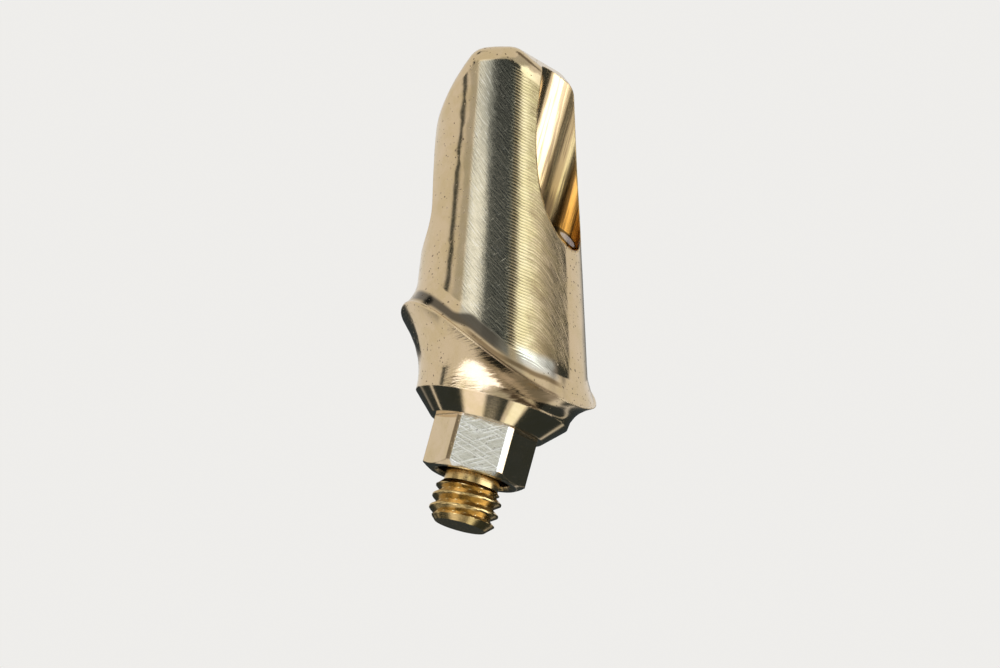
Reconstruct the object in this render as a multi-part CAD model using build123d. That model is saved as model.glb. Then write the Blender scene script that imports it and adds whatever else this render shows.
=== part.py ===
from build123d import *
import math
import os

# An angled dental abutment on its implant axis (+Z), held to the implant by one retaining screw.
# The origin is the centre of the flat shoulder that seats on the implant. The post leans towards
# -X, and the access channel for the screw driver breaks out of it on +X. Millimetres.

# Connection to the implant
platform_diameter = 4.5
bevel_height = 0.58
bevel_angle = 45.0
hex_across_flats = 2.72
hex_across_corners = 3.03
hex_length = 1.5
hex_end_diameter = 2.62
hex_end_angle = 30.0
hex_rotation = 30.0

# Post
post_tilt = 15.0
bend_height = 1.12
post_radius_at_bend = 2.634
post_taper = 4.6

# Top, a small flat between two sloping faces, one on the lean side and one over the opening. Each
# slope's distance is from the post axis to where it leaves the flat.
top_height = 9.98
lean_slope_angle = 52.0
lean_slope_distance = 0.24
opening_slope_angle = 44.0
opening_slope_distance = 0.91
top_edge_radius = 0.6
stock_above_top = 1.02

# Flat on the side that the post leans to, with a round run-out below
flat_distance = 1.36
flat_start = 5.4
flat_angle = 7.3
flat_cutter_radius = 1.5

# Margin, measured about the post axis from the bend point
margin_radius = 2.85
margin_shift = 0.03
margin_turn = -10.6
margin_height = 1.17
margin_drop = 1.63
margin_saddle = 0.49
margin_skew = 0.11
lip_round = 0.08
flare_height = 0.75
flare_power = 1.6
flare_power_change = 0.5

# Access channel, screw seat and screw
channel_diameter = 2.4
seat_height = 0.5
head_clearance = 0.07
thread_diameter = 2.0
thread_clearance = 0.06
bore_edge_chamfer = 0.07
thread_length = 1.2
thread_gap = 0.25
tip_chamfer = 0.25
shank_diameter = 1.6
head_height = 2.0
head_edge_chamfer = 0.12
socket_across_flats = 1.25
socket_depth = 1.3
socket_point_angle = 118.0

# Modelling detail
ring_point_count = 24
collar_band_count = 5
lip_band_count = 2
flare_band_count = 5
taper_band_count = 4
overrun = 1.0

post_axis = Vector(-math.sin(math.radians(post_tilt)), 0, math.cos(math.radians(post_tilt)))
post_across = Vector(math.cos(math.radians(post_tilt)), 0, math.sin(math.radians(post_tilt)))
bend_point = Vector(0, 0, bend_height)
lean_plane = Plane(origin=bend_point, x_dir=post_across, z_dir=Vector(0, -1, 0))

platform_radius = platform_diameter / 2
shoulder_radius = platform_radius - bevel_height * math.tan(math.radians(bevel_angle))
channel_radius = channel_diameter / 2
stock_height = top_height + stock_above_top
bore_radius = thread_diameter / 2 + thread_clearance


def post_radius(height):
    """Radius of the tapered post at a height along its own axis above the bend point."""
    return post_radius_at_bend - height * math.tan(math.radians(post_taper))


def post_point(radius, angle, height):
    """Point at a radius, angle and height in the post's own cylinder coordinates."""
    across = post_across * (radius * math.cos(angle)) + Vector(0, radius * math.sin(angle), 0)
    return bend_point + across + post_axis * height


def crest_height(angle):
    """Height of the scalloped margin: low under the opening, high behind, raised at both sides."""
    turned_by = angle - math.radians(margin_turn)
    return (margin_height - margin_drop * math.cos(turned_by)
            - margin_saddle * math.cos(2 * turned_by) + margin_skew * math.cos(3 * turned_by))


def crest_radius(angle):
    """Radius of the margin's outer edge about the post axis."""
    return margin_radius + margin_shift * math.cos(angle)


def collar_point(share, angle):
    """Concave collar from the platform edge (share 0) out to the underside of the lip (share 1)."""
    foot = Vector(platform_radius * math.cos(angle), platform_radius * math.sin(angle), bevel_height)
    lip = post_point(crest_radius(angle), angle, crest_height(angle) - lip_round)
    out = share ** 2
    return Vector(foot.X + (lip.X - foot.X) * out, foot.Y + (lip.Y - foot.Y) * out,
                  foot.Z + (lip.Z - foot.Z) * share)


def flare_point(share, angle):
    """Flare from the crest of the lip (share 0) up to the plain taper of the post (share 1)."""
    height = crest_height(angle) + share * flare_height
    ledge = crest_radius(angle) - lip_round - post_radius(crest_height(angle))
    power = flare_power - flare_power_change * math.cos(angle)
    return post_point(post_radius(height) + ledge * (1 - share) ** power, angle, height)


def lip_point(share, angle):
    """Rounded lip from the collar's outer edge (share 0) over to the crest (share 1)."""
    turn = share * math.pi / 2
    return post_point(crest_radius(angle) - lip_round * (1 - math.cos(turn)), angle,
                      crest_height(angle) - lip_round * (1 - math.sin(turn)))


def taper_point(share, angle):
    """Plain taper of the post, from the end of the flare (share 0) up to the top (share 1)."""
    foot = crest_height(angle) + flare_height
    height = foot + share * (stock_height - foot)
    return post_point(post_radius(height), angle, height)


def ring(place):
    """Closed smooth wire through the points that place(angle) gives all round the part."""
    step = 2 * math.pi / ring_point_count
    points = [place(math.pi + i * step) for i in range(ring_point_count)]
    return Wire([Edge.make_spline(points, periodic=True)])


def band(place, count, first):
    """Rings of a smooth band, from the ring before it through its own rings."""
    return [first] + [ring(lambda angle, s=i / count: place(s, angle)) for i in range(1, count + 1)]


def outer_body():
    """Solid of bevel, collar, lip, flare and tapered post, before anything is cut."""
    shoulder = ring(lambda angle: Vector(shoulder_radius * math.cos(angle),
                                         shoulder_radius * math.sin(angle), 0))
    collar = band(collar_point, collar_band_count, ring(lambda angle: collar_point(0, angle)))
    lip = band(lip_point, lip_band_count, collar[-1])
    flare = band(flare_point, flare_band_count, lip[-1])
    taper = band(taper_point, taper_band_count, flare[-1])
    skins = [
        Shell.make_loft([shoulder, collar[0]], ruled=True),
        Shell.make_loft(collar),
        Shell.make_loft(lip),
        Shell.make_loft(flare),
        Shell.make_loft(taper),
    ]
    faces = [face for skin in skins for face in skin.faces()]
    return Solid(Shell(faces + [Face(shoulder), Face(taper[-1])]))


def turned(profile, plane=Plane.XZ):
    """Solid turned about a plane's vertical axis from (radius, height) points in it."""
    face = plane * make_face(Polyline(*profile, close=True))
    return revolve(face, Axis(plane.origin, plane.y_dir))


def connection_hex():
    """Hex with trimmed corners and a flat conical end, reaching up into the body."""
    corner, end = hex_across_corners / 2, hex_end_diameter / 2
    rise = (corner - end) * math.tan(math.radians(hex_end_angle))
    flats = RegularPolygon(hex_across_flats / 2, 6, major_radius=False, rotation=hex_rotation)
    prism = Pos(0, 0, -hex_length) * extrude(flats, hex_length + bevel_height)
    trim = turned([(0, -hex_length), (end, -hex_length), (corner, rise - hex_length),
                   (corner, bevel_height), (0, bevel_height)])
    return prism & trim


def across_lean(outline):
    """Solid with an outline drawn in the plane that the post leans in, wide enough to cut it."""
    return extrude(lean_plane * make_face(outline), post_radius_at_bend + overrun, both=True)


def roof_cut():
    """Everything above the small flat and the two sloping faces at the top of the post."""
    reach = post_radius_at_bend + overrun
    above = stock_height + overrun
    lean_drop = (reach - lean_slope_distance) * math.tan(math.radians(lean_slope_angle))
    opening_drop = (reach - opening_slope_distance) * math.tan(math.radians(opening_slope_angle))
    return across_lean(Polyline(
        (-reach, top_height - lean_drop), (-lean_slope_distance, top_height),
        (opening_slope_distance, top_height), (reach, top_height - opening_drop),
        (reach, above), (-reach, above), close=True))


def lean_side_cut():
    """The flat, with its round run-out, on the side that the post leans to."""
    reach = post_radius_at_bend + overrun
    above = stock_height + overrun
    lean = math.radians(flat_angle)
    centre = (-flat_distance - flat_cutter_radius * math.cos(lean),
              flat_start - flat_cutter_radius * math.sin(lean))
    low = centre[1] - flat_cutter_radius
    flat_top = -flat_distance - (above - flat_start) * math.tan(lean)
    return across_lean([
        Line((-reach, above), (-reach, low)),
        Line((-reach, low), (centre[0], low)),
        RadiusArc((centre[0], low), (-flat_distance, flat_start), -flat_cutter_radius),
        Line((-flat_distance, flat_start), (flat_top, above)),
        Line((flat_top, above), (-reach, above)),
    ])


def shaped_post():
    """Outer body with its sloping top, rounded edges and the flat."""
    body = outer_body() - roof_cut()
    roof = body.faces().filter_by(GeomType.PLANE).sort_by(Axis(bend_point, post_axis))[-3:]
    edges = ShapeList(dict.fromkeys(edge for face in roof for edge in face.edges()))
    return fillet(edges, top_edge_radius) - lean_side_cut()


def access_channel():
    """Straight way for the screw and its driver, from the seat out through the top and side."""
    length = bend_height + stock_height + overrun - seat_height
    return Pos(0, 0, seat_height + length / 2) * Cylinder(channel_radius, length)


def screw_bore():
    """Bore from the seat down through the hex."""
    length = seat_height + hex_length + 2 * overrun
    return Pos(0, 0, (seat_height - hex_length) / 2) * Cylinder(bore_radius, length)


def bore_edge():
    """Broken edge where the bore leaves the end of the hex."""
    edge = bore_radius + bore_edge_chamfer
    return turned([(0, -hex_length), (edge, -hex_length),
                   (bore_radius, bore_edge_chamfer - hex_length),
                   (0, bore_edge_chamfer - hex_length)])


def make_abutment():
    """One turned and milled solid from the hex up to the top of the post."""
    body = shaped_post() + connection_hex()
    return body - access_channel() - screw_bore() - bore_edge()


def make_screw():
    """Screw with its head on the seat, its thread at the major diameter."""
    thread = thread_diameter / 2
    shank = shank_diameter / 2
    head = channel_radius - head_clearance
    thread_top = -hex_length - thread_gap
    tip = thread_top - thread_length
    head_top = seat_height + head_height
    lead = thread - shank
    body = turned([
        (0, tip), (thread - tip_chamfer, tip), (thread, tip + tip_chamfer),
        (thread, thread_top - lead), (shank, thread_top), (shank, seat_height),
        (head, seat_height), (head, head_top - head_edge_chamfer),
        (head - head_edge_chamfer, head_top), (0, head_top)])
    floor = head_top - socket_depth
    flats = RegularPolygon(socket_across_flats / 2, 6, major_radius=False)
    point = socket_across_flats / 2 / math.tan(math.radians(socket_point_angle / 2))
    drill = turned([(0, floor - point), (socket_across_flats / 2, floor),
                    (0, floor)])
    socket = Pos(0, 0, floor) * extrude(flats, socket_depth)
    return body - socket - drill


os.makedirs("parts", exist_ok=True)
for name, make in (("abutment", make_abutment), ("abutment_screw", make_screw)):
    piece = make()
    piece.label = name
    export_step(piece, f"parts/{name}.step")
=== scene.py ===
import logging
import math
from dataclasses import dataclass
from enum import Enum
from typing import Any

import bmesh
import bpy
from mathutils import Matrix, Vector


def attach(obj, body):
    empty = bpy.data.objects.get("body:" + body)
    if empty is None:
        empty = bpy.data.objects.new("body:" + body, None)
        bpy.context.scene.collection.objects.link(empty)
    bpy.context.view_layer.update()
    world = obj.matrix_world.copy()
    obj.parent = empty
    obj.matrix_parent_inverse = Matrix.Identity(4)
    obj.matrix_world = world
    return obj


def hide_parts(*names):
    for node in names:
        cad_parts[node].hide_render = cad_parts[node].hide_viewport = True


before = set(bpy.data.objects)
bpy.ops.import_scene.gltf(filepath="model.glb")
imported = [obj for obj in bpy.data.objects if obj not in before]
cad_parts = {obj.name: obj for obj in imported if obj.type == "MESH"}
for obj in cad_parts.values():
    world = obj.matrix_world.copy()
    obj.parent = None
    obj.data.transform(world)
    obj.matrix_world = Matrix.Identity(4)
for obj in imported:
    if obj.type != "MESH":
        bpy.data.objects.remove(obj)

log = logging.getLogger("abutment_scene")

MM = 0.001
PER_MM = 1000.0
FULL_TURN = 2 * math.pi
TO_DEGREES = math.degrees(1)
Colour = tuple[float, float, float]
Span = tuple[float, float]
Window = tuple[float, float, float]
Streak = tuple[float, float, float]
Specks = tuple[float, float, float]


class Value:
    """A shader socket on which Python arithmetic adds Math nodes."""

    def __init__(self, maker: "NodeMaker", socket: bpy.types.NodeSocket) -> None:
        """Wraps one output socket.

        Args:
            maker: The node maker that owns the socket's tree.
            socket: The output socket.
        """
        self.maker = maker
        self.socket = socket

    def __add__(self, other: Any) -> "Value":
        """Sum."""
        return self.maker.math("ADD", self, other)

    __radd__ = __add__

    def __sub__(self, other: Any) -> "Value":
        """Difference."""
        return self.maker.math("SUBTRACT", self, other)

    def __rsub__(self, other: Any) -> "Value":
        """Reflected difference."""
        return self.maker.math("SUBTRACT", other, self)

    def __mul__(self, other: Any) -> "Value":
        """Product."""
        return self.maker.math("MULTIPLY", self, other)

    __rmul__ = __mul__

    def __truediv__(self, other: Any) -> "Value":
        """Quotient."""
        return self.maker.math("DIVIDE", self, other)


class NodeMaker:
    """Adds nodes to one tree, each with its settings first and its sockets after."""

    def __init__(self, tree: bpy.types.NodeTree) -> None:
        """Empties the tree and keeps it.

        Args:
            tree: The node tree of a material or a world.
        """
        tree.nodes.clear()
        self.tree = tree

    def node(self, kind: str, settings: dict[str, Any] | None = None,
             sockets: dict[str | int, Any] | None = None, out: str | int = 0) -> Value:
        """Adds one node.

        Args:
            kind: The node's type, such as "ShaderNodeMath".
            settings: The node's properties.
            sockets: Values or links for its inputs, by name or number.
            out: The output that is returned.

        Returns:
            The chosen output.
        """
        made = self.tree.nodes.new(kind)
        for name, value in (settings or {}).items():
            setattr(made, name, value)
        for key, value in (sockets or {}).items():
            if isinstance(value, Value):
                self.tree.links.new(value.socket, made.inputs[key])
            else:
                made.inputs[key].default_value = value
        return Value(self, made.outputs[out]) if made.outputs else Value(self, None)

    def math(self, operation: str, *terms: Any) -> Value:
        """Adds a Math node.

        Args:
            operation: The node's operation.
            terms: One to three numbers or values.

        Returns:
            The result.
        """
        return self.node("ShaderNodeMath", {"operation": operation}, dict(enumerate(terms)))

    def ramp(self, value: Value, low: Any, high: Any) -> Value:
        """Smooth step from 0 at low to 1 at high.

        Args:
            value: What is measured.
            low: Where the step is 0.
            high: Where the step is 1.

        Returns:
            A value from 0 to 1.
        """
        return self.node("ShaderNodeMapRange", {"interpolation_type": "SMOOTHSTEP"},
                         {"Value": value, "From Min": low, "From Max": high})

    def band(self, value: Value, low: Any, high: Any, soft: float) -> Value:
        """A soft window that is 1 between low and high.

        Args:
            value: What is measured.
            low: The window's lower edge.
            high: The window's upper edge.
            soft: The width of each edge.

        Returns:
            A value from 0 to 1.
        """
        above = self.ramp(value, low - soft, low + soft)
        return above * (1 - self.ramp(value, high - soft, high + soft))

    def blend(self, share: Any, first: Any, second: Any) -> Value:
        """Mixes two colours.

        Args:
            share: How much of the second colour shows.
            first: A colour value or numbers.
            second: A colour value or numbers.

        Returns:
            The mixed colour.
        """
        def colour(value: Any) -> Any:
            """A colour as a Mix node's socket takes it."""
            return value if isinstance(value, Value) else (*value, 1.0)

        return self.node("ShaderNodeMix", {"data_type": "RGBA"},
                         {0: share, 6: colour(first), 7: colour(second)}, 2)

    def point(self, x: Any, y: Any, z: Any) -> Value:
        """Joins three values into a vector.

        Args:
            x: First coordinate.
            y: Second coordinate.
            z: Third coordinate.

        Returns:
            The vector.
        """
        return self.node("ShaderNodeCombineXYZ", None, {0: x, 1: y, 2: z})

    def noise(self, place: Value, scale: float, detail: float = 2.0, rough: float = 0.5) -> Value:
        """Noise from 0 to 1.

        Args:
            place: The vector that it reads.
            scale: Cells per unit.
            detail: Octaves.
            rough: How strong the finer octaves are.

        Returns:
            The noise.
        """
        return self.node("ShaderNodeTexNoise", None,
                         {"Vector": place, "Scale": scale, "Detail": detail, "Roughness": rough})

    def streaks(self, across: Value, up: Value, angle: float, length: float,
                width: float) -> Value:
        """Noise drawn out into streaks on a surface.

        Args:
            across: Place across the surface.
            up: Place up the surface.
            angle: The streaks' angle above the horizontal, in degrees.
            length: A streak's length.
            width: A streak's width.

        Returns:
            The noise, from 0 to 1.
        """
        turn = math.radians(angle)
        along = (across * math.cos(turn) + up * math.sin(turn)) / length
        beside = (up * math.cos(turn) - across * math.sin(turn)) / width
        return self.noise(self.point(along, beside, 0.0), 1.0, 3.0, 0.6)

    def specks(self, place: Value, scale: float, size: float, share: float) -> Value:
        """Scattered round specks, only in some cells.

        Args:
            place: The vector that it reads.
            scale: Cells per unit.
            size: A speck's radius as a share of a cell.
            share: The share of cells that hold a speck.

        Returns:
            1 in a speck, 0 outside.
        """
        near = self.node("ShaderNodeTexVoronoi", None, {"Vector": place, "Scale": scale})
        cell = self.node("ShaderNodeTexVoronoi", None, {"Vector": place, "Scale": scale}, "Color")
        pick = self.node("ShaderNodeSeparateColor", None, {0: cell}, 0)
        width = self.node("ShaderNodeSeparateColor", None, {0: cell}, 1) * size + size * 0.4
        inside = 1 - self.ramp(near / width, 0.6, 1.0)
        return inside * self.math("LESS_THAN", pick, share)


@dataclass(frozen=True)
class PostShape:
    """Sizes of the leaned post, in millimetres, that its finishes follow."""

    tilt: float = 15.0
    bend_height: float = 1.12
    crest_mean: float = 1.17
    crest_drop: float = 1.63
    crest_saddle: float = 0.49
    crest_skew: float = 0.11
    crest_turn: float = -10.6
    mean_radius: float = 2.2
    channel_radius: float = 1.2
    bevel_height: float = 0.58
    top_height: float = 9.98
    lean_slope_angle: float = 52.0
    lean_slope_distance: float = 0.24
    opening_slope_angle: float = 44.0
    opening_slope_distance: float = 0.91


class AbutmentPlaces:
    """Values that say where a point of the abutment lies, made in one material's tree."""

    def __init__(self, maker: NodeMaker, shape: PostShape) -> None:
        """Adds the nodes that measure the place.

        Args:
            maker: The material's node maker.
            shape: Sizes of the post.
        """
        lean = math.radians(shape.tilt)
        local = maker.node("ShaderNodeTexCoord", out="Object")
        self.point = maker.node("ShaderNodeVectorMath", {"operation": "SCALE"},
                                {0: local, "Scale": PER_MM})
        x, y, z = (maker.node("ShaderNodeSeparateXYZ", None, {0: self.point}, i) for i in range(3))
        above_bend = z - shape.bend_height
        across = x * math.cos(lean) + above_bend * math.sin(lean)
        self.y, self.z = y, z
        self.height = above_bend * math.cos(lean) - x * math.sin(lean)
        angle = maker.math("ARCTAN2", y, across)
        self.degrees = angle * TO_DEGREES
        self.girth = angle * shape.mean_radius
        self.from_axis = maker.math("SQRT", x * x + y * y)
        self.round_angle = maker.math("ARCTAN2", y, x)
        self.round_degrees = self.round_angle * TO_DEGREES
        turned = angle - math.radians(shape.crest_turn)
        crest = (shape.crest_mean - shape.crest_drop * maker.math("COSINE", turned)
                 - shape.crest_saddle * maker.math("COSINE", turned * 2)
                 + shape.crest_skew * maker.math("COSINE", turned * 3))
        self.above_crest = self.height - crest
        lean_fall = math.tan(math.radians(shape.lean_slope_angle))
        lean_drop = (across + shape.lean_slope_distance) * -lean_fall
        opening_fall = math.tan(math.radians(shape.opening_slope_angle))
        opening_drop = (across - shape.opening_slope_distance) * opening_fall
        drop = maker.math("MAXIMUM", maker.math("MAXIMUM", lean_drop, opening_drop), 0.0)
        self.below_roof = shape.top_height - drop - self.height


@dataclass(frozen=True)
class FieldEdges:
    """Where the fields of the abutment's surface start and end, in millimetres and degrees.

    A span is where a soft step goes from 0 to 1. A window has two edges and their softness. The
    angles are counted about the post's axis, or about the implant's for bore, collar and hex.
    """

    over_crest: Span = (0.0, 0.12)
    channel_rim: Span = (0.01, 0.03)
    ring_softness: float = 0.005
    seat: Span = (-0.02, 0.0)
    under_roof: Span = (0.52, 0.62)
    off_margin: Span = (0.45, 0.8)

    climb_first: Span = (-65.0, -38.0)
    climb_first_height: float = 0.2
    climb_last: Span = (-40.0, -26.0)
    climb_last_height: float = 0.12
    # Painted shade along the post's foot.
    foot: Window = (0.03, 0.19, 0.05)
    foot_turn: Window = (-80.0, -18.0, 5.0)
    # A painted glow on the flare.
    painted_flare_glow: Window = (0.22, 0.75, 0.14)
    flare_glow_turn: Window = (-47.0, -20.0, 4.0)

    # Painted shade in the hollow above the margin.
    hollow_rise: Span = (-92.0, -76.0)
    hollow_rise_height: float = 0.2
    hollow: Window = (0.05, 0.34, 0.07)
    hollow_start: Span = (-142.0, -122.0)
    hollow_end: Span = (-55.0, -49.0)
    hollow_thinning: Span = (-64.0, -52.0)
    hollow_thinned: float = 0.6

    brushed_turn: Window = (-86.5, -54.0, 2.0)
    brushed_start: Span = (0.25, 0.45)
    # Painted shade in part of the brushed field.
    shaded_turn: Span = (-73.0, -69.0)
    shaded_lean: Span = (4.5, 7.0)
    shaded_lean_turn: float = 4.0
    # Painted shade at the top of the brushed field.
    painted_top_shade_turn: Span = (-88.0, -76.0)
    painted_top_shade_height: Span = (4.5, 8.7)
    # Painted shade high on the post's side.
    upper_shade_turn: Span = (-46.0, -38.0)
    upper_shade_height: Span = (4.5, 6.5)
    milled_turn: Window = (-56.0, -26.0, 3.0)
    patch_turn: Window = (-42.0, -10.0, 4.0)
    patch_start: Span = (0.8, 1.4)

    torn_turn: Window = (-101.0, -20.0, 3.0)
    filed_turn: Window = (-88.0, -32.0, 1.0)
    # Painted shade under the lip on the collar.
    lip: Span = (-0.17, 0.0)
    lip_turn: Span = (-78.0, -66.0)
    lip_raggedness: float = 0.9
    # Painted shade low in the channel, and a painted shadow on one side of it.
    amber_height: Span = (6.8, 9.0)
    channel_shadow_height: Span = (6.9, 7.6)
    channel_shadow_turn: Span = (98.0, 104.0)
    streaked_height: Span = (6.5, 9.5)
    streaks_thinned: float = 0.3


class Fields:
    """Masks from 0 to 1 of the abutment's fields."""

    def __init__(self, maker: NodeMaker, place: AbutmentPlaces, shape: PostShape,
                 at: FieldEdges) -> None:
        """Adds the nodes that part the fields.

        Args:
            maker: The material's node maker.
            place: Where a point lies on the abutment.
            shape: Sizes of the post.
            at: Where the fields start and end.
        """
        on_post = maker.ramp(place.above_crest, *at.over_crest)
        rim_start, rim_end = (shape.channel_radius + out for out in at.channel_rim)
        ring, soft = shape.bevel_height, at.ring_softness
        above_ring = maker.ramp(place.z, ring - soft, ring + soft)
        self.inside = 1 - maker.ramp(place.from_axis, rim_start, rim_end)
        self.outside = 1 - self.inside
        self.below_seat = 1 - maker.ramp(place.z, *at.seat)
        self.bevel = (1 - above_ring) * (1 - self.below_seat)
        self.torn = above_ring * (1 - on_post) * maker.band(place.round_degrees, *at.torn_turn)
        self.filed = self.below_seat * maker.band(place.round_degrees, *at.filed_turn)

        post = self.outside * on_post * maker.ramp(place.below_roof, *at.under_roof)
        self.brushed = (post * maker.band(place.degrees, *at.brushed_turn)
                        * maker.ramp(place.above_crest, *at.brushed_start))
        # Painted shade: a darker share of the brushed field, whose edge leans with height.
        lean = maker.ramp(place.height, *at.shaded_lean) * at.shaded_lean_turn
        self.shaded = self.brushed * maker.ramp(place.degrees + lean, *at.shaded_turn)
        # Painted shade: the brushed field turns darker towards the top of the post.
        self.wear_and_painted_shade = (self.brushed * maker.ramp(place.height, *at.painted_top_shade_height)
                     * maker.ramp(place.degrees, *at.painted_top_shade_turn))
        # Painted shade: olive darkening high on the post from about -42 degrees round.
        self.painted_upper_shade = (post * maker.ramp(place.degrees, *at.upper_shade_turn)
                       * maker.ramp(place.height, *at.upper_shade_height))
        self.milled = (post * maker.band(place.degrees, *at.milled_turn)
                       * maker.ramp(place.above_crest, *at.off_margin))
        self.patch = (post * maker.band(place.degrees, *at.patch_turn)
                      * maker.ramp(place.above_crest, *at.patch_start))
        worked = maker.math("MAXIMUM", maker.math("MAXIMUM", self.brushed, self.milled), self.patch)
        self.plain = self.outside * (1 - worked)

        climb = (maker.ramp(place.degrees, *at.climb_first) * at.climb_first_height
                 + maker.ramp(place.degrees, *at.climb_last) * at.climb_last_height)
        # Painted shade: a brown band along the fillet at the post's foot.
        self.foot = (self.outside * maker.band(place.above_crest - climb, *at.foot)
                     * maker.band(place.degrees, *at.foot_turn))
        # Painted highlight: a pale glow on the flare above the post's foot.
        self.painted_flare_glow = (self.outside * maker.band(place.above_crest - climb, *at.painted_flare_glow)
                      * maker.band(place.degrees, *at.flare_glow_turn))
        self.hollow = self._hollow(maker, place, at)

    def _hollow(self, maker: NodeMaker, place: AbutmentPlaces, at: FieldEdges) -> Value:
        """Painted shade in the hollow above the margin, which rises and widens round the post.

        Args:
            maker: The material's node maker.
            place: Where a point lies on the abutment.
            at: Where the fields start and end.

        Returns:
            Its mask.
        """
        rise = maker.ramp(place.degrees, *at.hollow_rise)
        low, high, soft = at.hollow
        top = high + rise * at.hollow_rise_height
        band = maker.band(place.above_crest - rise * at.hollow_rise_height, low, top, soft)
        ends = (maker.ramp(place.degrees, *at.hollow_start)
                * (1 - maker.ramp(place.degrees, *at.hollow_end)))
        thinned = 1 - maker.ramp(place.degrees, *at.hollow_thinning) * at.hollow_thinned
        return self.outside * band * ends * thinned


@dataclass(frozen=True)
class ToolMarks:
    """Sizes of the marks that tools left on the abutment, in millimetres and degrees."""

    brush: Streak = (-52.0, 0.5, 0.045)
    hair: Streak = (38.0, 0.3, 0.03)
    hair_share: Span = (0.66, 0.74)
    turning: Streak = (16.0, 0.5, 0.08)
    turning_radius: float = 2.5
    file_strokes: tuple[Streak, Streak] = ((48.0, 0.7, 0.05), (-35.0, 0.7, 0.05))
    wall: Streak = (0.0, 3.0, 0.12)
    pitch: float = 0.097
    slope: float = 0.36
    bend_start: float = -1.5
    bend: float = 0.8
    wander_scale: float = 1.5
    wander: float = 0.06
    arc_scale: Span = (1.4, 9.0)
    lobe_scale: Span = (0.8, 1.3)
    pit_shake: float = 0.09
    pit_shake_scale: float = 9.0
    large_pits: Specks = (4.5, 0.14, 0.4)
    small_pits: Specks = (9.0, 0.22, 0.5)


class Marks:
    """Noise from 0 to 1 for each kind of mark, with the milled lines from -1 to 1."""

    def __init__(self, maker: NodeMaker, place: AbutmentPlaces, on: Fields, of: ToolMarks) -> None:
        """Adds the nodes that make the marks.

        Args:
            maker: The material's node maker.
            place: Where a point lies on the abutment.
            on: Masks of the fields.
            of: Sizes of the marks.
        """
        self.mottle = maker.noise(place.point, 1.6, 4.0, 0.65)
        self.grain = maker.noise(place.point, 13.0, 3.0, 0.6)
        self.brush = maker.streaks(place.girth, place.height, *of.brush)
        self.hair = maker.ramp(maker.streaks(place.girth, place.height, *of.hair), *of.hair_share)
        self.turning = maker.streaks(place.round_angle * of.turning_radius, place.z, *of.turning)
        filed = (maker.streaks(place.y, place.z, *stroke) for stroke in of.file_strokes)
        self.filing = maker.math("MAXIMUM", *filed)
        self.wall = maker.streaks(place.z, place.round_angle, *of.wall)

        bend = maker.math("MAXIMUM", place.girth - of.bend_start, 0.0)
        wander = maker.noise(place.point, of.wander_scale, 2.0, 0.5) * of.wander
        phase = place.height + place.girth * of.slope + bend * bend * of.bend + wander
        self.lines = maker.math("SINE", phase * (FULL_TURN / of.pitch))
        arc, lobe = (maker.point(place.girth * across, phase * along, 0.0)
                     for across, along in (of.arc_scale, of.lobe_scale))
        self.arcs = maker.noise(arc, 1.0, 4.0, 0.65)
        self.lobes = maker.noise(lobe, 1.0, 1.0)

        wobble = maker.node("ShaderNodeTexNoise", None,
                            {"Vector": place.point, "Scale": of.pit_shake_scale}, "Color")
        shaken = maker.node("ShaderNodeVectorMath", {"operation": "MULTIPLY_ADD"},
                            {0: wobble, 1: (of.pit_shake,) * 3, 2: place.point})
        specks = maker.math("MAXIMUM", maker.specks(shaken, *of.large_pits),
                            maker.specks(shaken, *of.small_pits))
        self.pits = (specks * on.plain * (1 - on.bevel) * (1 - on.torn)
                     * (1 - on.below_seat * 0.7))


@dataclass(frozen=True)
class ChannelSpot:
    """The small oval patch of painted shade at the channel's lower end, with a painted glint at its
    core, in degrees round and millimetres up.
    """

    turn: float = 81.0
    half_turn: float = 27.0
    height: float = 6.12
    half_height: float = 0.15
    rise_per_degree: float = 0.0112
    rim: Span = (0.8, 1.0)
    core_rim: Span = (0.6, 1.0)
    core_shift: float = 0.1
    core_shrink: Span = (2.0, 2.5)

    def masks(self, maker: NodeMaker, place: AbutmentPlaces, inside: Value) -> tuple[Value, Value]:
        """Marks the patch of painted shade and its painted glint.

        Args:
            maker: The material's node maker.
            place: Where a point lies on the abutment.
            inside: Mask of the channel.

        Returns:
            The whole patch and its painted glint.
        """
        around = place.round_degrees - self.turn
        across = around / self.half_turn
        along = (place.z - self.height - around * self.rise_per_degree) / self.half_height
        patch = inside * (1 - maker.ramp(across * across + along * along, *self.rim))
        shifted = across + self.core_shift
        spread = shifted * shifted * self.core_shrink[0] + along * along * self.core_shrink[1]
        return patch, inside * (1 - maker.ramp(spread, *self.core_rim))


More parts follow.
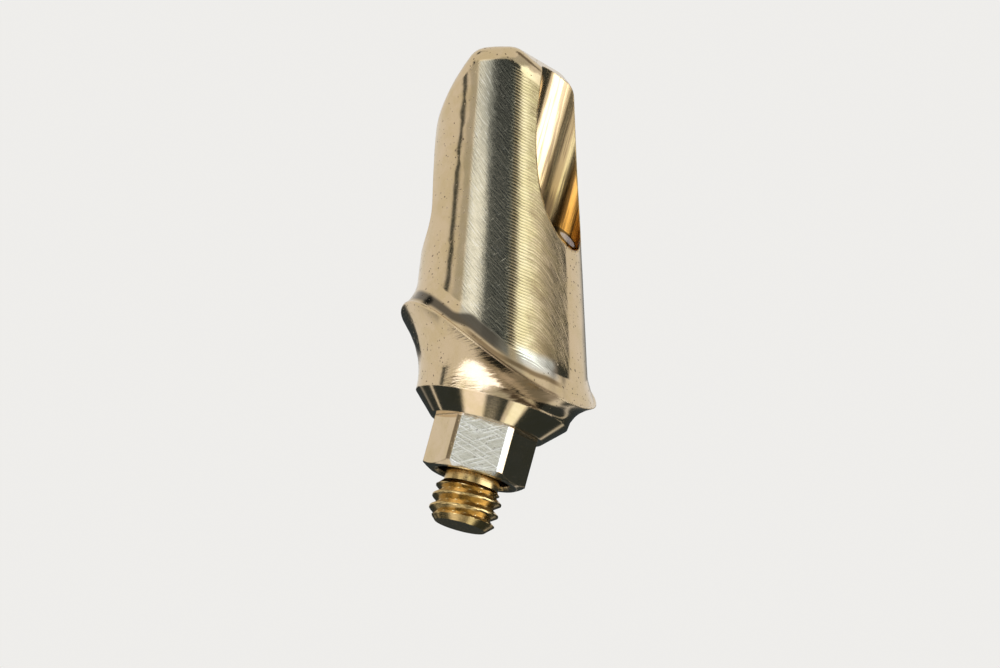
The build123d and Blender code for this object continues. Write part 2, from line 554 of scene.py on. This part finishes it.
@dataclass(frozen=True)
class AbutmentFinish:
    """Gold nitride over machined titanium: a smooth pitted satin, milled and brushed fields."""

    gold: Colour = (0.73, 0.57, 0.37)
    ochre: Colour = (0.67, 0.52, 0.30)
    silvered: Colour = (0.62, 0.58, 0.45)
    combed: Colour = (0.80, 0.78, 0.70)
    deep_gold: Colour = (0.76, 0.56, 0.30)
    # Amber for painted shade low in the channel.
    amber: Colour = (0.62, 0.41, 0.14)
    # Olive for milled lines and patch arcs, and for painted shade high on the post's side.
    olive: Colour = (0.36, 0.29, 0.14)
    # Brown for channel streaks and patch lobes, and for painted shade in the channel, under the lip
    # and at the foot.
    brown: Colour = (0.24, 0.16, 0.08)
    # A dark tone for darker brush streaks, and for painted shade on the post.
    wear_and_painted_shade: Colour = (0.26, 0.25, 0.20)
    shadowed: Colour = (0.075, 0.065, 0.05)
    filed: Colour = (0.66, 0.64, 0.55)
    scratch: Colour = (0.95, 0.94, 0.88)
    # Painted glow on the flare.
    painted_glow: Colour = (0.86, 0.86, 0.80)
    pit: Colour = (0.16, 0.11, 0.07)
    # Painted glint in the channel's spot.
    painted_glint_lilac: Colour = (0.62, 0.60, 0.66)
    roughness: float = 0.12
    edge_radius: float = 0.05
    bump_strength: float = 0.35
    bump_depth: float = 0.01
    shape: PostShape = PostShape()
    edges: FieldEdges = FieldEdges()
    tools: ToolMarks = ToolMarks()
    spot: ChannelSpot = ChannelSpot()

    def material(self) -> bpy.types.Material:
        """Builds the material.

        Returns:
            The abutment's material.
        """
        made = bpy.data.materials.new("gold_nitride_abutment")
        made.use_nodes = True
        maker = NodeMaker(made.node_tree)
        place = AbutmentPlaces(maker, self.shape)
        on = Fields(maker, place, self.shape, self.edges)
        marks = Marks(maker, place, on, self.tools)
        spot, painted_glint = self.spot.masks(maker, place, on.inside)

        layers = self._layers(maker, place, on, marks)
        # Painted shade in the oval spot at the channel's lower end, and a painted lilac glint at
        # its core.
        layers += [(spot * 0.9, self.shadowed), (painted_glint, self.painted_glint_lilac), (marks.pits * 0.85, self.pit)]
        colour: Any = self.gold
        for share, tint in layers:
            colour = maker.blend(share, colour, tint)
        rough = (self.roughness + on.brushed * 0.05 - on.bevel * 0.03 + on.inside * 0.06
                 + on.filed * 0.09 + (marks.grain - 0.5) * 0.08 + marks.pits * 0.3)
        rounded = maker.node("ShaderNodeBevel", {"samples": 4}, {"Radius": self.edge_radius * MM})
        normal = maker.node("ShaderNodeBump", None,
                            {"Strength": self.bump_strength, "Distance": self.bump_depth * MM,
                             "Height": self._relief(on, marks), "Normal": rounded})
        shader = maker.node("ShaderNodeBsdfPrincipled", None,
                            {"Base Color": colour, "Metallic": 1 - painted_glint * 0.8, "Roughness": rough,
                             "Normal": normal})
        maker.node("ShaderNodeOutputMaterial", None, {"Surface": shader})
        return made

    def _layers(self, maker: NodeMaker, place: AbutmentPlaces, on: Fields,
                marks: Marks) -> list[tuple[Value, Colour]]:
        """Lists the tints that are laid over the gold, in order, painted shade and a painted glow
        among them.

        Args:
            maker: The material's node maker.
            place: Where a point lies on the abutment.
            on: Masks of the fields.
            marks: The marks on them.

        Returns:
            Each tint's share and its colour.
        """
        at = self.edges
        # Painted shade: the channel's gold turns darker amber towards its bottom.
        low = 1 - maker.ramp(place.z, *at.amber_height)
        # Painted shadow low on one side of the channel.
        painted_channel_shadow = ((1 - maker.ramp(place.z, *at.channel_shadow_height))
                * maker.ramp(place.round_degrees, *at.channel_shadow_turn))
        streaked = (maker.ramp(marks.wall, 0.48, 0.62)
                    * (1 - maker.ramp(place.z, *at.streaked_height) * at.streaks_thinned))
        # Painted shade under the lip on the collar, with ragged turned edges.
        painted_shade_under_lip = (maker.ramp(place.above_crest + marks.turning * at.lip_raggedness, *at.lip)
                     * maker.ramp(place.degrees, *at.lip_turn))
        # Painted shade here: amber low in the channel, the channel's shadow, the shaded and
        # top-darkened brushed field, the darkened upper side, under the lip, the foot and the
        # hollow. Painted highlight: the glow on the flare.
        return [
            (maker.ramp(marks.mottle, 0.35, 0.7), self.ochre),
            (on.brushed * 0.85, self.silvered),
            (on.filed, self.filed),
            (on.inside * 0.9, self.deep_gold),
            (on.inside * low * 0.7, self.amber),
            (on.inside * streaked, self.brown),
            (on.inside * painted_channel_shadow * 0.85, self.brown),
            (on.wear_and_painted_shade * 0.9, self.wear_and_painted_shade),
            (on.painted_upper_shade * 0.4, self.olive),
            (on.brushed * maker.ramp(marks.brush, 0.52, 0.7) * 0.5, self.combed),
            (on.brushed * (1 - maker.ramp(marks.brush, 0.3, 0.5)) * 0.4, self.wear_and_painted_shade),
            (on.shaded * 0.7, self.wear_and_painted_shade),
            (on.milled * (0.5 - marks.lines * 0.5) * 0.6, self.olive),
            (on.patch * maker.ramp(marks.arcs, 0.47, 0.63) * 0.5, self.olive),
            (on.patch * maker.ramp(marks.lobes, 0.54, 0.66) * 0.4, self.brown),
            (on.torn * painted_shade_under_lip * 0.85, self.brown),
            (on.painted_flare_glow * 0.8, self.painted_glow),
            (on.foot * 0.85, self.brown),
            (on.hollow * 0.9, self.shadowed),
            (on.filed * maker.ramp(marks.filing, 0.5, 0.66), self.scratch),
        ]

    @staticmethod
    def _relief(on: Fields, marks: Marks) -> Value:
        """Adds up the height of every mark.

        Args:
            on: Masks of the fields.
            marks: The marks on them.

        Returns:
            The height, in bump depths.
        """
        return (on.brushed * (marks.brush - 0.5) * 2.2 + on.brushed * marks.hair * 2.2
                + on.milled * marks.lines * 0.45 + on.patch * (marks.arcs - 0.5) * 4.5
                + on.patch * (marks.lobes - 0.5) * 12.0 + on.torn * (marks.turning - 0.5) * 3.0
                + on.filed * (marks.filing - 0.5) * 3.0 + on.inside * (marks.wall - 0.5) * 0.8
                + (marks.grain - 0.5) * 0.15 * on.plain - marks.pits * 0.9)


@dataclass(frozen=True)
class ScrewFinish:
    """Brighter and deeper gold nitride, turned."""

    gold: Colour = (0.66, 0.47, 0.20)
    groove: Colour = (0.30, 0.20, 0.08)
    ring_stretch: tuple[float, float, float] = (1.0, 1.0, 60.0)
    roughness: float = 0.14
    bump_strength: float = 0.25
    bump_depth: float = 0.01

    def material(self) -> bpy.types.Material:
        """Builds the material.

        Returns:
            The screw's material.
        """
        made = bpy.data.materials.new("gold_nitride_screw")
        made.use_nodes = True
        maker = NodeMaker(made.node_tree)
        local = maker.node("ShaderNodeTexCoord", out="Object")
        point = maker.node("ShaderNodeVectorMath", {"operation": "SCALE"},
                           {0: local, "Scale": PER_MM})
        stretched = maker.node("ShaderNodeMapping", None,
                               {"Vector": point, "Scale": self.ring_stretch})
        rings = maker.noise(stretched, 1.0, 3.0, 0.6)
        mottle = maker.noise(point, 3.0, 3.0, 0.5)
        colour = maker.blend(mottle * 0.5, self.gold, self.groove)
        normal = maker.node("ShaderNodeBump", None,
                            {"Strength": self.bump_strength, "Distance": self.bump_depth * MM,
                             "Height": rings})
        shader = maker.node("ShaderNodeBsdfPrincipled", None,
                            {"Base Color": colour, "Metallic": 1.0,
                             "Roughness": self.roughness + rings * 0.12, "Normal": normal})
        maker.node("ShaderNodeOutputMaterial", None, {"Surface": shader})
        return made


@dataclass
class RetainingScrew:
    """The turned screw with its real thread, in millimetres."""

    head_radius: float = 1.13
    head_bottom: float = 0.5
    head_top: float = 2.5
    head_chamfer: float = 0.12
    shank_radius: float = 0.8
    thread_radius: float = 1.0
    thread_top: float = -1.75
    tip: float = -2.95
    tip_chamfer: float = 0.25
    pitch: float = 0.35
    thread_depth: float = 0.2
    groove_half_share: float = 0.42
    socket_across_flats: float = 1.25
    socket_depth: float = 1.3
    columns: int = 120
    rows_per_pitch: int = 16
    corner_angle: float = 32.0
    tolerance: float = 0.001
    weld: float = 0.0001

    def profile(self) -> list[tuple[float, float]]:
        """Half outline of the screw, with close rows where the thread is.

        Returns:
            Radius and height of each point from the tip's centre to the socket's centre.
        """
        rows = round((self.thread_top - self.tip) / self.pitch * self.rows_per_pitch)
        step = (self.thread_top - self.tip) / rows
        crest = self.thread_radius
        thread = [(crest, self.tip + i * step) for i in range(rows + 1)]
        head = self.head_radius
        flat = self.head_top - self.head_chamfer
        return [(0.0, self.tip), *thread, (self.shank_radius, self.thread_top + step / 2),
                (self.shank_radius, self.head_bottom), (head, self.head_bottom), (head, flat),
                (head - self.head_chamfer, self.head_top), (0.0, self.head_top)]

    def cut_depth(self, angle: float, height: float) -> float:
        """Depth of the right-hand thread's groove.

        Args:
            angle: Angle round the axis.
            height: Height on the axis.

        Returns:
            How far the surface lies inside the crest.
        """
        turn = (height - self.pitch * angle / FULL_TURN) / self.pitch % 1.0
        groove = max(0.0, 1.0 - abs(turn - 0.5) / self.groove_half_share) * self.thread_depth
        chamfer = max(0.0, self.tip_chamfer - (height - self.tip))
        runout = max(0.0, height - (self.thread_top - self.thread_depth))
        return max(groove, chamfer, runout)

    def build(self, finish: bpy.types.Material) -> bpy.types.Object:
        """Models the screw and lets it stand for its plain solid.

        Args:
            finish: The screw's material.

        Returns:
            The finished object.
        """
        mesh = bmesh.new()
        line = [mesh.verts.new((r * MM, 0.0, z * MM)) for r, z in self.profile()]
        edges = [mesh.edges.new(pair) for pair in zip(line, line[1:])]
        bmesh.ops.spin(mesh, geom=line + edges, cent=(0, 0, 0), axis=(0, 0, 1), angle=FULL_TURN,
                       steps=self.columns, use_merge=True)
        bmesh.ops.remove_doubles(mesh, verts=mesh.verts, dist=self.weld * MM)
        low, high = (self.tip - self.tolerance) * MM, (self.thread_top + self.tolerance) * MM
        for vert in mesh.verts:
            if low <= vert.co.z <= high and vert.co.xy.length > self.shank_radius * MM:
                angle = math.atan2(vert.co.y, vert.co.x)
                radius = self.thread_radius - self.cut_depth(angle, vert.co.z / MM)
                vert.co.xy = vert.co.xy.normalized() * radius * MM
        bmesh.ops.recalc_face_normals(mesh, faces=mesh.faces)
        data = bpy.data.meshes.new("abutment_screw_threaded")
        mesh.to_mesh(data)
        mesh.free()
        data.materials.append(finish)
        piece = bpy.data.objects.new("abutment_screw_threaded", data)
        bpy.context.scene.collection.objects.link(piece)
        self._cut_socket(piece)
        for face in piece.data.polygons:
            face.use_smooth = True
        self._keep_corners(piece)
        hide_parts("abutment_screw")
        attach(piece, "abutment_screw")
        return piece

    def _cut_socket(self, piece: bpy.types.Object) -> None:
        """Cuts the hex socket into the head.

        Args:
            piece: The screw.
        """
        cutter = bmesh.new()
        radius = self.socket_across_flats / math.sqrt(3)
        floor = self.head_top - self.socket_depth
        bmesh.ops.create_cone(cutter, cap_ends=True, segments=6, radius1=radius * MM,
                              radius2=radius * MM, depth=2 * self.socket_depth * MM,
                              matrix=Matrix.Translation((0, 0, (floor + self.socket_depth) * MM)))
        data = bpy.data.meshes.new("socket_cutter")
        cutter.to_mesh(data)
        cutter.free()
        tool = bpy.data.objects.new("socket_cutter", data)
        bpy.context.scene.collection.objects.link(tool)
        cut = piece.modifiers.new("socket", "BOOLEAN")
        cut.operation = "DIFFERENCE"
        cut.solver = "EXACT"
        cut.object = tool
        graph = bpy.context.evaluated_depsgraph_get()
        result = bpy.data.meshes.new_from_object(piece.evaluated_get(graph))
        piece.modifiers.clear()
        piece.data = result
        bpy.data.objects.remove(tool)

    def _keep_corners(self, piece: bpy.types.Object) -> None:
        """Keeps sharp corners crisp under smooth shading.

        Args:
            piece: The screw.
        """
        mesh = bmesh.new()
        mesh.from_mesh(piece.data)
        limit = math.radians(self.corner_angle)
        for edge in mesh.edges:
            edge.smooth = len(edge.link_faces) == 2 and edge.calc_face_angle() < limit
        mesh.to_mesh(piece.data)
        mesh.free()


@dataclass(frozen=True)
class PhotoCamera:
    """The photograph's viewing angle, seen by a parallel camera."""

    azimuth: float = 33.2
    elevation: float = -10.36
    roll: float = 15.3
    aim: tuple[float, float, float] = (-0.519, 0.174, 2.847)
    view_width: float = 28.676
    distance: float = 60.0
    nearest: float = 1.0
    farthest: float = 2000.0

    def back(self) -> Vector:
        """Direction from the object to the camera.

        Returns:
            A vector of length 1.
        """
        turn, rise = math.radians(self.azimuth), math.radians(self.elevation)
        level = math.cos(rise)
        return Vector((math.sin(turn) * level, -math.cos(turn) * level, math.sin(rise)))

    def build(self) -> bpy.types.Object:
        """Places the camera and makes it the scene's.

        Returns:
            The camera.
        """
        data = bpy.data.cameras.new("photo_camera")
        data.type = "ORTHO"
        data.ortho_scale = self.view_width * MM
        data.clip_start, data.clip_end = self.nearest * MM, self.farthest * MM
        camera = bpy.data.objects.new("photo_camera", data)
        bpy.context.scene.collection.objects.link(camera)
        back = self.back()
        level = (-back).to_track_quat("-Z", "Y").to_matrix().to_4x4()
        turned = level @ Matrix.Rotation(math.radians(self.roll), 4, "Z")
        place = (Vector(self.aim) + back * self.distance) * MM
        camera.matrix_world = Matrix.Translation(place) @ turned
        bpy.context.scene.camera = camera
        return camera


class Light(Enum):
    """Brightness and tint of what stands round the object."""

    PALE = (0.80, 0.79, 0.77)
    WHITE = (1.36, 1.36, 1.34)
    BRIGHT = (2.2, 2.3, 2.7)
    GLARE = (3.0, 3.2, 3.7)
    CREAM = (1.40, 1.50, 1.45)
    BUTTER = (1.65, 1.85, 1.80)
    ROSE = (1.22, 1.20, 1.24)
    MIDDLE = (0.50, 0.51, 0.49)
    DIM = (0.20, 0.18, 0.16)
    DARK = (0.035, 0.045, 0.05)


@dataclass(frozen=True)
class Panel:
    """A soft-edged panel of the surroundings, in degrees right of and above the camera's line."""

    light: Light
    left: float
    right: float
    low: float
    high: float
    soft: float = 4.0
    slant: float = 0.0


# A later panel covers what it overlaps of an earlier one.
SURROUNDINGS = (
    Panel(Light.MIDDLE, -26, 60, 46, 58, 3),
    Panel(Light.DARK, -147, -125, 46, 57, 3),
    Panel(Light.DARK, -180, -146, -45, -1, 2),
    Panel(Light.MIDDLE, -180, -92, -80, -58, 4),
    Panel(Light.DARK, -180, -116, -34, -17, 4),
    Panel(Light.DARK, -128, -98, -44, -24, 4),
    Panel(Light.DARK, -112, -80, -54, -33, 3),
    Panel(Light.PALE, -124, -120, -42, -18, 1.5),
    Panel(Light.ROSE, -78, -49, -60, -46, 2),
    Panel(Light.DARK, -47, -6, -78, -58, 3),
    Panel(Light.DARK, 60, 180, -88, -38, 4),
    Panel(Light.CREAM, 8, 52, -86, -66, 5),
    Panel(Light.DIM, -18, 60, -52, -16, 5),
    Panel(Light.MIDDLE, -12, 30, -16, 8, 5),
    Panel(Light.DARK, 98, 180, -34, 2, 3),
    Panel(Light.DARK, 9, 26, 8, 21, 2.5),
    Panel(Light.BUTTER, -15, -4, 21, 28, 2),
    Panel(Light.DARK, -33, -16, 21, 31, 2),
    Panel(Light.MIDDLE, -48, -33, 20, 31, 2),
    Panel(Light.CREAM, -60, -49, 22, 32, 2),
    Panel(Light.DIM, -80, -62, 20, 31, 2),
    Panel(Light.MIDDLE, 62, 88, 10, 34, 3),
    Panel(Light.DIM, 86, 100, 10, 34, 4),
    Panel(Light.DARK, 93, 112, 4, 26, 2.5),
    Panel(Light.PALE, 58, 90, 32, 48, 3),
    Panel(Light.CREAM, 52, 74, 33.5, 43, 2),
    Panel(Light.MIDDLE, 50, 104, 51, 61, 2),
    Panel(Light.DIM, 106, 140, 42, 61, 3),
    Panel(Light.MIDDLE, -78, -62, 32, 42, 2),
    Panel(Light.WHITE, -60, -29, 31, 49, 2.5),
    Panel(Light.BUTTER, 26, 56, 29, 48, 2, 0.35),
    Panel(Light.DARK, -35, 25, 32, 49, 2, 0.35),
    Panel(Light.BRIGHT, -66, -20, -34, 14, 4),
    Panel(Light.GLARE, 36, 91, -13, 11.5, 4),
    Panel(Light.DARK, -93, -85, 9, 36, 1.5),
)
# At this height a slanted panel's sides stand where its left and right say.
SLANT_PIVOT = 35.0


@dataclass(frozen=True)
class Studio:
    """Plain pale floor, pale surroundings with soft panels, and an overhead soft lamp."""

    floor_drop: float = 80.0
    floor_radius: float = 20.0
    floor_fade: float = 12.0
    floor_corners: int = 96
    floor_colour: Colour = (0.80, 0.79, 0.77)
    background: Colour = (0.86, 0.85, 0.83)
    lamp_place: tuple[float, float, float] = (-10.0, -20.0, 120.0)
    lamp_size: float = 90.0
    lamp_watts: float = 0.22

    def build(self, camera: bpy.types.Object) -> None:
        """Makes the floor, the lamp and the world.

        Args:
            camera: The photograph's camera, from whose line the panels' places are counted.
        """
        self._floor()
        self._lamp()
        self._world(camera.matrix_world.to_3x3())

    def _floor(self) -> None:
        """Makes a round floor whose rim fades into the background."""
        mesh = bmesh.new()
        bmesh.ops.create_circle(mesh, cap_ends=True, segments=self.floor_corners,
                                radius=self.floor_radius * MM,
                                matrix=Matrix.Translation((0, 0, -self.floor_drop * MM)))
        data = bpy.data.meshes.new("studio_floor")
        mesh.to_mesh(data)
        mesh.free()
        made = bpy.data.materials.new("pale_floor")
        made.use_nodes = True
        maker = NodeMaker(made.node_tree)
        local = maker.node("ShaderNodeTexCoord", out="Object")
        x, y = (maker.node("ShaderNodeSeparateXYZ", None, {0: local}, i) for i in range(2))
        out = maker.math("SQRT", x * x + y * y) * PER_MM
        fade = maker.ramp(out, self.floor_radius - self.floor_fade, self.floor_radius)
        matte = maker.node("ShaderNodeBsdfDiffuse", None, {"Color": (*self.floor_colour, 1.0)})
        clear = maker.node("ShaderNodeBsdfTransparent")
        mixed = maker.node("ShaderNodeMixShader", None, {0: fade, 1: matte, 2: clear})
        maker.node("ShaderNodeOutputMaterial", None, {"Surface": mixed})
        data.materials.append(made)
        floor = bpy.data.objects.new("studio_floor", data)
        bpy.context.scene.collection.objects.link(floor)

    def _lamp(self) -> None:
        """Hangs one large soft lamp overhead, for the floor's shadow."""
        data = bpy.data.lights.new("overhead_lamp", "AREA")
        data.shape = "SQUARE"
        data.size = self.lamp_size * MM
        data.energy = self.lamp_watts
        lamp = bpy.data.objects.new("overhead_lamp", data)
        bpy.context.scene.collection.objects.link(lamp)
        lamp.location = Vector(self.lamp_place) * MM
        lamp.rotation_euler = (-lamp.location).to_track_quat("-Z", "Y").to_euler()
        lamp.visible_glossy = False

    def _world(self, facing: Matrix) -> None:
        """Makes the surroundings: plain to the camera, panels to the metal.

        Args:
            facing: The photograph's camera's right, up and back directions.
        """
        world = bpy.data.worlds.new("studio")
        bpy.context.scene.world = world
        world.use_nodes = True
        maker = NodeMaker(world.node_tree)
        way = maker.node("ShaderNodeTexCoord", out="Generated")
        right, up, back = (
            maker.node("ShaderNodeVectorMath", {"operation": "DOT_PRODUCT"},
                       {0: way, 1: tuple(axis)}, "Value")
            for axis in facing.col)
        aside = maker.math("ARCTAN2", right, back) * TO_DEGREES
        above = maker.math("ARCSINE", up) * TO_DEGREES
        lit: Any = Light.PALE.value
        for panel in SURROUNDINGS:
            place = aside - above * panel.slant if panel.slant else aside
            shift = panel.slant * SLANT_PIVOT
            inside = (maker.band(place, panel.left - shift, panel.right - shift, panel.soft)
                      * maker.band(above, panel.low, panel.high, panel.soft))
            lit = maker.blend(inside, lit, panel.light.value)
        panels = maker.node("ShaderNodeBackground", None, {"Color": lit, "Strength": 1.0})
        plain = maker.node("ShaderNodeBackground", None,
                           {"Color": (*self.background, 1.0), "Strength": 1.0})
        seen = maker.node("ShaderNodeLightPath", out="Is Camera Ray")
        mixed = maker.node("ShaderNodeMixShader", None, {0: seen, 1: panels, 2: plain})
        maker.node("ShaderNodeOutputWorld", None, {"Surface": mixed})


@dataclass
class Abutment:
    """The turned and milled body, whose solid already has its shape."""

    node: str = "abutment"

    def dress(self, finish: bpy.types.Material) -> bpy.types.Object:
        """Gives the solid its finish.

        Args:
            finish: The abutment's material.

        Returns:
            The solid's object.
        """
        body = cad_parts[self.node]
        body.data.materials.clear()
        body.data.materials.append(finish)
        return body


def main() -> None:
    """Builds the studio, dresses the abutment and models the screw."""
    logging.basicConfig(level=logging.INFO)
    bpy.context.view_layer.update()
    bpy.context.scene.view_settings.view_transform = "Standard"
    shape = PostShape()
    camera = PhotoCamera().build()
    Studio().build(camera)
    body = Abutment().dress(AbutmentFinish(shape=shape).material())
    log.info("dressed %s, %d faces", body.name, len(body.data.polygons))
    screw = RetainingScrew().build(ScrewFinish().material())
    log.info("built %s, %d faces", screw.name, len(screw.data.polygons))


if __name__ == "__main__":
    main()
